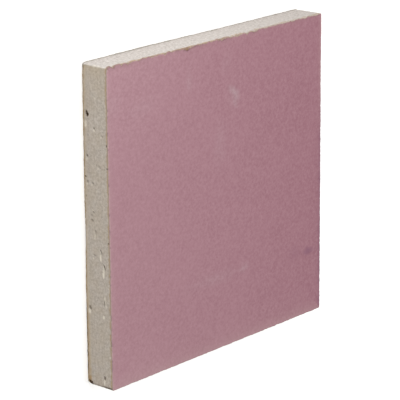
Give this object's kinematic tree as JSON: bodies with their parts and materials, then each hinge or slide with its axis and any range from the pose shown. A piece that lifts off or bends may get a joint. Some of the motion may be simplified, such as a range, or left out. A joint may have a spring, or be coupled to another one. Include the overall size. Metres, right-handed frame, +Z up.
{
  "type": "drywall sheet",
  "caption": "Small square piece of fire-rated drywall: a pale gypsum core with open air voids on its cut edges, between a pink face paper and a brown back paper.",
  "frame": {"origin": "middle of the underside, on the surface that the piece lies on", "axes": "+Z up out of the pink face; +Y towards the edge that is uppermost in the picture; +X towards the edge on the picture's right"},
  "size_m": [0.12, 0.12, 0.0125],
  "materials": {
    "gypsum": "sawn, chalky and matt",
    "pink_paper": "calendered board paper, matt",
    "brown_paper": "recycled board paper, matt"
  },
  "bodies": {
    "root": {"gypsum_core": "gypsum", "face_paper": "pink_paper", "back_paper": "brown_paper"}
  },
  "joints": []
}
